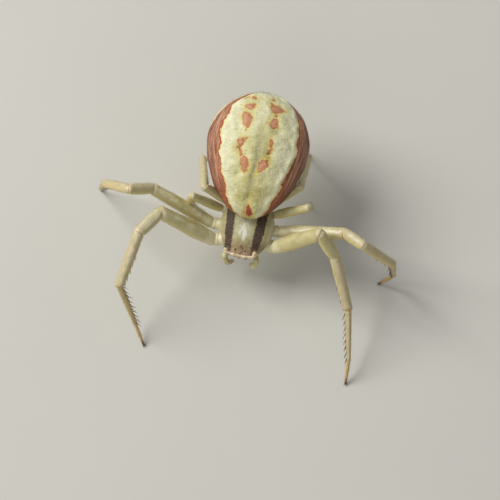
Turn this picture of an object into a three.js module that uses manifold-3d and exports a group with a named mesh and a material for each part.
// A female flower crab spider at life size, standing still with her front legs spread.
// Millimetres, +Z up, head towards -Y. The model's origin is on the floor, under the middle of its box.
import * as THREE from 'three';
import { mergeVertices } from 'three/addons/utils/BufferGeometryUtils.js';
import Module from 'manifold-3d';

const wasm = await Module();
wasm.setup();

// Stance of the body: how high the middle of the carapace is, and how the body is turned.
const CARAPACE_HEIGHT = 2.2;
const HEAD_DOWN = 15;
const BODY_ROLL = -3;
const BODY_YAW = -8;
// The head is turned a little further than the rest.
const HEAD_TURN = -2.5;

// Joints are thin cuts, and eyes sit in sockets a little larger than themselves.
const GAP = 0.04;
const EYE_GAP = 0.015;

// Prosoma: the carapace above and the sternum below, around an origin in its middle.
const CARAPACE_LENGTH = 2.16;
const CARAPACE_WIDTH = 2.08;
const CARAPACE_ASIDE = 0.08;
const FACE_WIDTH = 1.2;
const CARAPACE_RISE = 0.5;
const STERNUM_DEPTH = 0.42;
const WIDEST_AT = 0.12;

// Abdomen: an egg, broad behind, whose front end overhangs the carapace. It is held a little to one side.
const ABDOMEN_ASIDE = 0.12;
const ABDOMEN_START = 0.37;
const ABDOMEN_FRONT = 2.845;
const ABDOMEN_REAR = 1.995;
const ABDOMEN_WIDTH = 3.9;
const ABDOMEN_RISE = 1.15;
const ABDOMEN_DEPTH = 1.3;
const ABDOMEN_LIFT = 0.62;
const OVERHANG_LIFT = 0.3;
// How far the tip of the abdomen's rear half drops.
const REAR_DROP = 0.25;
// How blunt the egg's outline is: its width at a share along each half is (1 - share^power)^root.
const EGG = { frontPower: 1.6, frontRoot: 0.5, rearPower: 2.05, rearRoot: 0.54 };
// In front the belly tapers with this power of the width, which leaves room for the last legs.
const BELLY_POWER = 1.8;

// Where each leg's coxa ends, from the middle of the carapace: out to the side, back, and up.
const HIPS = {
  1: [1.15, -0.54, -0.22],
  2: [1.31, 0.09, -0.22],
  3: [1.0, 0.68, -0.2],
  4: [0.6, 0.92, -0.2],
};
const HIP_INSET = 0.5;
const SEGMENTS = ['femur', 'patella', 'tibia', 'metatarsus', 'tarsus'];
const LENGTHS = {
  1: [2.6, 1.15, 2.2, 2.02, 0.95],
  2: [2.8, 1.04, 1.78, 1.66, 0.92],
  3: [1.7, 0.75, 1.2, 0.95, 0.6],
  4: [1.7, 0.75, 1.6, 1.3, 0.7],
};
// Radius of the coxa, and of each segment where it starts, where it is thickest, and where it ends.
const COXA_RADIUS = { 1: 0.27, 2: 0.26, 3: 0.19, 4: 0.2 };
const SEGMENT_RADII = {
  1: [[0.24, 0.313, 0.25], [0.215, 0.25, 0.225], [0.205, 0.213, 0.183], [0.13, 0.124, 0.076], [0.066, 0.064, 0.045]],
  2: [[0.22, 0.262, 0.225], [0.2, 0.225, 0.205], [0.188, 0.195, 0.162], [0.12, 0.115, 0.076], [0.066, 0.064, 0.045]],
  3: [[0.15, 0.185, 0.15], [0.14, 0.152, 0.138], [0.125, 0.13, 0.11], [0.085, 0.08, 0.062], [0.055, 0.055, 0.04]],
  4: [[0.155, 0.195, 0.155], [0.145, 0.158, 0.142], [0.135, 0.142, 0.115], [0.09, 0.085, 0.064], [0.058, 0.056, 0.04]],
};
const THICKEST_AT = { femur: 0.42, patella: 0.55, tibia: 0.3, metatarsus: 0.3, tarsus: 0.45 };

// Each leg's pose: the heading of each segment from -Y towards +X, and its pitch above the floor, in degrees.
// The last segment's pitch is worked out, so that every foot stands on the floor.
const POSES = {
  left_1: { heading: [-106, -44, -23, 30, 25], pitch: [36, 4, -30, -56] },
  right_1: { heading: [86, 44, 17, 1, -9], pitch: [47.5, -46.5, -35.5, -31.5] },
  left_2: { heading: [-112, -75, -125, -154, -171], pitch: [29, 34.5, -49, -75] },
  right_2: { heading: [79, 46, 75, 131, -80], pitch: [25.5, 28.5, -49, -86] },
  left_3: { heading: [-93, -112, 170, 172, 175], pitch: [49, -83, -74, -78] },
  right_3: { heading: [86, 165, 176, 180, 180], pitch: [41, -66, -71, -76] },
  left_4: { heading: [-102, -178, -177, 158, 150], pitch: [50, -43, -43, -74] },
  right_4: { heading: [111, 169, 167, -168, -157], pitch: [31, -43, -40, -71] },
};
const FOOT_HEIGHT = 0.045;

// Spines stand in two rows along the inner face of the two front pairs' tibiae and metatarsi.
const SPINE_PAIRS = { tibia: 3, metatarsus: 6 };
const SPINE_SPAN = { tibia: [0.45, 0.92], metatarsus: [0.1, 0.94] };
const SPINE_LENGTH = { tibia: 0.26, metatarsus: 0.3 };
const SPINE_RADIUS = 0.022;
const SPINE_SPREAD = 24;
const SPINE_LEAN = 38;
const SPINE_SIDE = { out: 0.75, back: 0.35, up: 0.55 };

const LEG_SIDES = 10;
const BALL_RINGS = 3;

const skin = (color, roughness = 0.5) => new THREE.MeshStandardMaterial({ color, roughness, metalness: 0 });
const MATERIALS = {
  carapace: skin(0xb9b596),
  abdomen: skin(0xe9e6b4, 0.42),
  leg: skin(0xc9c49a, 0.45),
  jaw: skin(0xb49a6a),
  eye: skin(0x1c1410, 0.15),
};

const radians = THREE.MathUtils.degToRad;
const lerp = THREE.MathUtils.lerp;

// The body's own frame: x to its left side seen from the front, y to the rear, z up.
const bodyFrame = new THREE.Matrix4().makeRotationFromEuler(
  new THREE.Euler(radians(HEAD_DOWN), radians(BODY_ROLL), radians(BODY_YAW), 'ZXY'),
);
bodyFrame.setPosition(0, 0, CARAPACE_HEIGHT);
const inBody = (x, y, z) => new THREE.Vector3(x, y, z).applyMatrix4(bodyFrame);
const headTurn = new THREE.Matrix4().makeRotationZ(radians(HEAD_TURN));
const inHead = (x, y, z) => new THREE.Vector3(x, y, z).applyMatrix4(headTurn).applyMatrix4(bodyFrame);

// A closed three.js geometry as a manifold solid.
function solid(geometry) {
  const bare = new THREE.BufferGeometry();
  bare.setAttribute('position', geometry.getAttribute('position'));
  if (geometry.index) bare.setIndex(geometry.index);
  const merged = mergeVertices(bare, 1e-4);
  return new wasm.Manifold(
    new wasm.Mesh({
      numProp: 3,
      vertProperties: new Float32Array(merged.getAttribute('position').array),
      triVerts: new Uint32Array(merged.index.array),
    }),
  );
}

// The largest closed surface of a solid, as a three.js geometry.
function geometryOf(shape) {
  const largest = shape.decompose().sort((a, b) => b.volume() - a.volume())[0];
  const mesh = largest.getMesh();
  const geometry = new THREE.BufferGeometry();
  geometry.setAttribute('position', new THREE.BufferAttribute(mesh.vertProperties, 3));
  geometry.setIndex(new THREE.BufferAttribute(mesh.triVerts, 1));
  geometry.computeVertexNormals();
  return geometry;
}

// A ball whose vertices are moved by place(along, across), where along runs from -1 in front to 1 behind
// and across is the unit direction round the long axis.
function shapedBall(sides, rings, place) {
  const ball = new THREE.SphereGeometry(1, sides, rings);
  const points = ball.getAttribute('position');
  for (let i = 0; i < points.count; i++) {
    const along = THREE.MathUtils.clamp(points.getY(i), -1, 1);
    const across = new THREE.Vector2(points.getX(i), points.getZ(i));
    if (across.length() > 1e-6) across.normalize();
    else across.set(0, 0);
    const moved = place(along, across);
    points.setXYZ(i, moved.x, moved.y, moved.z);
  }
  return ball;
}

// The prosoma: nearly as wide as long, blunt in front, with a sloping rear that the abdomen overhangs.
function prosomaPoint(along, across, grow = 0) {
  const half = CARAPACE_LENGTH / 2;
  const reach = along < WIDEST_AT ? (WIDEST_AT - along) / (1 + WIDEST_AT) : (along - WIDEST_AT) / (1 - WIDEST_AT);
  const blunt = along < WIDEST_AT ? 8 : 2.2;
  const fullness = Math.pow(Math.max(0, 1 - Math.pow(reach, blunt)), 0.5);
  const taper = along < WIDEST_AT ? lerp(1, FACE_WIDTH / CARAPACE_WIDTH, Math.pow(reach, 1.5)) : 1;
  const aside = along < WIDEST_AT ? CARAPACE_ASIDE * (1 - reach * reach) : CARAPACE_ASIDE;
  const slope = along > 0 ? 1 - 0.45 * along : 1 - 0.12 * along * along;
  const rise = across.y > 0 ? CARAPACE_RISE * slope : STERNUM_DEPTH;
  return new THREE.Vector3(
    aside + (CARAPACE_WIDTH / 2 * fullness * taper + grow) * across.x,
    (half + grow) * along,
    (rise * Math.sqrt(fullness) * fullness + grow) * Math.sign(across.y) * Math.pow(Math.abs(across.y), 0.85),
  );
}

// The abdomen's outline seen from above, 0 at its ends and 1 where it is widest.
function eggProfile(along) {
  return along < 0
    ? Math.pow(1 - Math.pow(-along, EGG.frontPower), EGG.frontRoot)
    : Math.pow(1 - Math.pow(along, EGG.rearPower), EGG.rearRoot);
}

function abdomenPoint(along, across, grow = 0) {
  const width = eggProfile(along);
  const reach = along < 0 ? ABDOMEN_FRONT : ABDOMEN_REAR;
  const lift = ABDOMEN_LIFT + (along < 0 ? OVERHANG_LIFT : -REAR_DROP) * along * along;
  const belly = Math.pow(width, along < 0 ? BELLY_POWER : 1);
  const height = across.y > 0 ? ABDOMEN_RISE * width : ABDOMEN_DEPTH * belly;
  return new THREE.Vector3(
    ABDOMEN_ASIDE + (ABDOMEN_WIDTH / 2 * width + grow) * across.x,
    ABDOMEN_START + ABDOMEN_FRONT + (reach + grow) * along,
    lift + (height + grow) * across.y,
  );
}

const prosomaSolid = (grow = 0) =>
  solid(shapedBall(36, 22, (a, c) => prosomaPoint(a, c, grow)).applyMatrix4(bodyFrame));
const abdomenSolid = (grow = 0) =>
  solid(shapedBall(40, 28, (a, c) => abdomenPoint(a, c, grow)).applyMatrix4(bodyFrame));

// A rod with round ends along +Y from the origin, its radius given by stations of [distance, radius].
function roundedRod(stations, sides = LEG_SIDES, capRings = BALL_RINGS) {
  const profile = [];
  const [start, first] = stations[0];
  const [end, last] = stations[stations.length - 1];
  for (let i = 0; i <= capRings; i++) {
    const turn = (Math.PI / 2) * (i / capRings);
    profile.push(new THREE.Vector2(first * Math.sin(turn), start - first * Math.cos(turn)));
  }
  for (const [distance, radius] of stations.slice(1, -1)) profile.push(new THREE.Vector2(radius, distance));
  for (let i = 0; i <= capRings; i++) {
    const turn = (Math.PI / 2) * (i / capRings);
    profile.push(new THREE.Vector2(last * Math.cos(turn), end + last * Math.sin(turn)));
  }
  profile[0].x = 0;
  profile[profile.length - 1].x = 0;
  return new THREE.LatheGeometry(profile, sides);
}

// A frame with +Y along direction and +Z as near to back as it can be.
function frameAlong(origin, direction, back) {
  const y = direction.clone().normalize();
  const z = back.clone().addScaledVector(y, -back.dot(y)).normalize();
  const x = new THREE.Vector3().crossVectors(y, z);
  return new THREE.Matrix4().makeBasis(x, y, z).setPosition(origin);
}

// A rod with round ends between two points, in the frame that those points are in.
function rodBetween(from, to, startRadius, endRadius, sides = 8, capRings = 2) {
  const direction = to.clone().sub(from);
  const rod = roundedRod([[0, startRadius], [direction.length(), endRadius]], sides, capRings);
  const back = Math.abs(direction.z) > 0.9 * direction.length() ? new THREE.Vector3(0, 1, 0) : new THREE.Vector3(0, 0, 1);
  return solid(rod.applyMatrix4(frameAlong(from, direction, back)));
}

// A thin cone whose root is sunk in what it grows from.
function spike(root, direction, length, radius, sides = 5) {
  const cone = new THREE.ConeGeometry(radius, length, sides, 1).translate(0, length / 2, 0);
  const side = Math.abs(direction.x) > 0.9 ? new THREE.Vector3(0, 0, 1) : new THREE.Vector3(1, 0, 0);
  return solid(cone.applyMatrix4(frameAlong(root, direction, side)));
}

const heading = (turn, pitch) =>
  new THREE.Vector3(
    Math.cos(radians(pitch)) * Math.sin(radians(turn)),
    -Math.cos(radians(pitch)) * Math.cos(radians(turn)),
    Math.sin(radians(pitch)),
  );

// The points of a leg's joints, from the end of its coxa to its foot.
function legJoints(side, pair) {
  const [out, back, up] = HIPS[pair];
  const pose = POSES[`${side}_${pair}`];
  const joints = [inBody(side === 'left' ? -out : out, back, up)];
  LENGTHS[pair].forEach((length, i) => {
    const from = joints[i];
    const drop = THREE.MathUtils.clamp((from.z - FOOT_HEIGHT) / length, -1, 1);
    const pitch = i < pose.pitch.length ? pose.pitch[i] : -THREE.MathUtils.radToDeg(Math.asin(drop));
    joints.push(from.clone().addScaledVector(heading(pose.heading[i], pitch), length));
  });
  return joints;
}

// Spines in two rows along a segment that lies on +Y, on its -Z side.
function spinesOf(segment, length, radius) {
  const pairs = SPINE_PAIRS[segment];
  const [from, to] = SPINE_SPAN[segment];
  const spines = [];
  for (let i = 0; i < pairs; i++) {
    const along = length * lerp(from, to, i / (pairs - 1));
    for (const row of [-1, 1]) {
      const around = radians(row * SPINE_SPREAD);
      const outward = new THREE.Vector3(Math.sin(around), 0, -Math.cos(around));
      const root = outward.clone().multiplyScalar(radius * 0.6).setY(along);
      const lean = radians(SPINE_LEAN);
      const direction = outward.multiplyScalar(Math.cos(lean)).setY(Math.sin(lean));
      spines.push(spike(root, direction, SPINE_LENGTH[segment] + radius * 0.4, SPINE_RADIUS));
    }
  }
  return spines;
}

// Two small claws at the end of a tarsus that lies on +Y.
const CLAW = { apart: 0.018, rooted: 0.02, spread: 0.033, reach: 0.05, drop: 0.045, radii: [0.022, 0.016] };
function clawsOf(length) {
  const claws = [];
  for (const row of [-1, 1]) {
    const root = new THREE.Vector3(row * CLAW.apart, length - CLAW.rooted, 0);
    const tip = new THREE.Vector3(row * CLAW.spread, length + CLAW.reach, -CLAW.drop);
    claws.push(rodBetween(root, tip, ...CLAW.radii, 5, 1));
  }
  return claws;
}

// One segment as a solid in its own frame, cut at both joints by the plane that halves the bend.
function segmentSolid(segment, length, [start, thickest, end], startPlane, endPlane, extras) {
  const at = THICKEST_AT[segment];
  const stations = [
    [0, start],
    [length * at * 0.4, lerp(start, thickest, 0.75)],
    [length * at, thickest],
    [length * lerp(at, 1, 0.55), lerp(thickest, end, 0.5)],
    [length, end],
  ];
  let shape = solid(roundedRod(stations));
  for (const extra of extras) shape = shape.add(extra);
  if (startPlane) shape = shape.trimByPlane(startPlane.toArray(), GAP / 2);
  if (endPlane) {
    const back = endPlane.clone().negate();
    shape = shape.trimByPlane(back.toArray(), back.y * length + GAP / 2);
  }
  return shape;
}

function addMesh(group, name, shape, material, frame) {
  const mesh = new THREE.Mesh(geometryOf(shape), material);
  mesh.name = name;
  if (frame) frame.decompose(mesh.position, mesh.quaternion, mesh.scale);
  group.add(mesh);
  return mesh;
}

const spider = new THREE.Group();

// Body
const prosomaGrown = prosomaSolid(GAP);
// The face ends in a ridge from side to side, with a knob at each end.
const BROW = { cornerX: 0.57, cornerY: -0.95, middleY: -1.05, up: 0.2, knob: 0.1, thickness: 0.075 };
const browPoints = [-1, 0, 1].map((x) => inHead(x * BROW.cornerX, x ? BROW.cornerY : BROW.middleY, BROW.up));
const prosoma = prosomaSolid()
  .add(rodBetween(browPoints[0], browPoints[1], BROW.knob, BROW.thickness))
  .add(rodBetween(browPoints[1], browPoints[2], BROW.thickness, BROW.knob));
const abdomen = abdomenSolid().subtract(prosomaGrown);
const abdomenGrown = abdomenSolid(GAP);

addMesh(spider, 'abdomen', abdomen, MATERIALS.abdomen);

// The waist joins the prosoma's rear to the abdomen's underside.
const WAIST = { from: [0, 0.8, -0.14], to: [0, 1.95, 0.12], startRadius: 0.17, endRadius: 0.2 };
const waist = rodBetween(inBody(...WAIST.from), inBody(...WAIST.to), WAIST.startRadius, WAIST.endRadius);
addMesh(spider, 'pedicel', waist.subtract(prosomaGrown).subtract(abdomenGrown), MATERIALS.carapace);

// Spinnerets: two pairs of short blunt cones under the abdomen's rear end.
const SPINNERETS = { front: { x: 0.13, back: 0, length: 0.34 }, rear: { x: 0.1, back: 0.16, length: 0.3 } };
const SPINNERET_ROOT = 0.14;
const SPINNERET_RADII = [0.13, 0.06];
const spinneretBase = new THREE.Vector3(ABDOMEN_ASIDE, ABDOMEN_START + ABDOMEN_FRONT + ABDOMEN_REAR * 0.86, -0.32);
let spinnerets = null;
for (const { x, back, length } of Object.values(SPINNERETS)) {
  for (const sign of [-1, 1]) {
    const root = spinneretBase.clone().add(new THREE.Vector3(sign * x, back - SPINNERET_ROOT, SPINNERET_ROOT));
    const reach = new THREE.Vector3(sign * x * 1.2, back + length * 0.5, -length * 0.75);
    const tip = spinneretBase.clone().add(reach);
    const cone = rodBetween(root.applyMatrix4(bodyFrame), tip.applyMatrix4(bodyFrame), ...SPINNERET_RADII);
    spinnerets = spinnerets ? spinnerets.add(cone) : cone;
  }
}
addMesh(spider, 'spinnerets', spinnerets.subtract(abdomenGrown), MATERIALS.abdomen);

// Eyes: a front row of four under the ridge and a rear row of four behind it.
const EYES = {
  front_inner: { x: 0.16, y: -1.06, z: 0.08, radius: 0.045 },
  front_outer: { x: 0.48, y: -1.02, z: 0.1, radius: 0.06 },
  rear_inner: { x: 0.18, y: -0.84, z: 0.41, radius: 0.038 },
  rear_outer: { x: 0.57, y: -0.78, z: 0.29, radius: 0.055 },
};
const eyeSolids = [];
let prosomaWithSockets = prosoma;
for (const side of ['left', 'right']) {
  for (const [row, eye] of Object.entries(EYES)) {
    const centre = inHead(side === 'left' ? -eye.x : eye.x, eye.y, eye.z);
    const ball = (radius) =>
      solid(new THREE.SphereGeometry(radius, 10, 8).applyMatrix4(new THREE.Matrix4().setPosition(centre)));
    prosomaWithSockets = prosomaWithSockets.subtract(ball(eye.radius + EYE_GAP));
    eyeSolids.push([`eye_${side}_${row}`, ball(eye.radius)]);
  }
}
addMesh(spider, 'prosoma', prosomaWithSockets, MATERIALS.carapace);
for (const [name, ball] of eyeSolids) addMesh(spider, name, ball, MATERIALS.eye);

// Jaws and palps hang from the front of the head, mirrored left and right.
const JAW = { root: [0.2, -0.86, -0.02], tip: [0.13, -1.02, -0.72], fangTip: [0.03, -0.86, -0.84] };
const JAW_RADII = [0.165, 0.1];
const FANG_RADII = [0.045, 0.02];
const PALP_POINTS = [
  [0.42, -0.68, -0.3],
  [0.62, -1.12, -0.28],
  [0.56, -1.3, -0.5],
  [0.46, -1.32, -0.8],
  [0.38, -1.22, -1.15],
];
const PALP_RADII = [0.13, 0.11, 0.1, 0.09, 0.055];
for (const [side, sign] of Object.entries({ left: -1, right: 1 })) {
  const onSide = ([x, y, z]) => inHead(sign * x, y, z);
  const upper = rodBetween(onSide(JAW.root), onSide(JAW.tip), ...JAW_RADII, 10, 3);
  const fang = rodBetween(onSide(JAW.tip), onSide(JAW.fangTip), ...FANG_RADII, 6, 1);
  addMesh(spider, `chelicera_${side}`, upper.add(fang).subtract(prosomaGrown), MATERIALS.jaw);

  const palpPoints = PALP_POINTS.map(onSide);
  let palp = null;
  for (let i = 0; i + 1 < palpPoints.length; i++) {
    const joint = rodBetween(palpPoints[i], palpPoints[i + 1], PALP_RADII[i], PALP_RADII[i + 1]);
    palp = palp ? palp.add(joint) : joint;
  }
  addMesh(spider, `palp_${side}`, palp.subtract(prosomaGrown), MATERIALS.leg);
}

// Legs
const floorNormal = [0, 0, 1];
for (const side of ['left', 'right']) {
  for (const pair of [1, 2, 3, 4]) {
    const joints = legJoints(side, pair);
    const name = `leg_${side}_${pair}`;
    const sign = side === 'left' ? -1 : 1;
    const radii = SEGMENT_RADII[pair];
    const directions = SEGMENTS.map((_, i) => joints[i + 1].clone().sub(joints[i]).normalize());

    const [out, back, up] = HIPS[pair];
    const inner = inBody(sign * (out - HIP_INSET), back * 0.8, up + 0.02);
    const coxaWay = joints[0].clone().sub(inner).normalize();
    const coxaCut = directions[0].clone().add(coxaWay).normalize().negate();
    const coxa = rodBetween(inner, joints[0], COXA_RADIUS[pair], radii[0][0], LEG_SIDES, BALL_RINGS)
      .subtract(prosomaGrown)
      .trimByPlane(coxaCut.toArray(), coxaCut.dot(joints[0]) + GAP / 2);
    addMesh(spider, `${name}_coxa`, coxa, MATERIALS.leg);

    // The metatarsus and tarsus bend little, so they are one node, the foot.
    let foot = null;
    SEGMENTS.forEach((segment, i) => {
      // Spines stand opposite the leg's outer side, so they point down and towards the spider's middle.
      const outerSide = new THREE.Vector3(sign * SPINE_SIDE.out, SPINE_SIDE.back, SPINE_SIDE.up);
      const frame = frameAlong(joints[i], directions[i], outerSide);
      const intoFrame = frame.clone().invert();
      const length = LENGTHS[pair][i];
      const before = i ? directions[i - 1] : coxaWay;
      const bendIn = before.clone().add(directions[i]).normalize();
      const bendOut = i + 1 < SEGMENTS.length ? directions[i].clone().add(directions[i + 1]).normalize() : null;
      const joinsFoot = segment === 'tarsus';
      const leadsFoot = segment === 'metatarsus';
      const startPlane = joinsFoot ? null : bendIn.transformDirection(intoFrame);
      const endPlane = bendOut && !leadsFoot ? bendOut.transformDirection(intoFrame) : null;
      const extras = pair < 3 && SPINE_PAIRS[segment] ? spinesOf(segment, length, radii[i][2]) : [];
      if (joinsFoot) extras.push(...clawsOf(length));
      const shape = segmentSolid(segment, length, radii[i], startPlane, endPlane, extras);
      if (leadsFoot) {
        foot = shape.transform(frame.elements);
      } else if (joinsFoot) {
        const whole = foot.add(shape.transform(frame.elements)).trimByPlane(floorNormal, 0);
        addMesh(spider, `${name}_foot`, whole, MATERIALS.leg);
      } else {
        addMesh(spider, `${name}_${segment}`, shape, MATERIALS.leg, frame);
      }
    });
  }
}

// Moves the whole model so that its origin is under the middle of its box.
const box = new THREE.Box3().setFromObject(spider);
const middle = box.getCenter(new THREE.Vector3());
spider.position.set(-middle.x, -middle.y, -box.min.z);

export default spider;
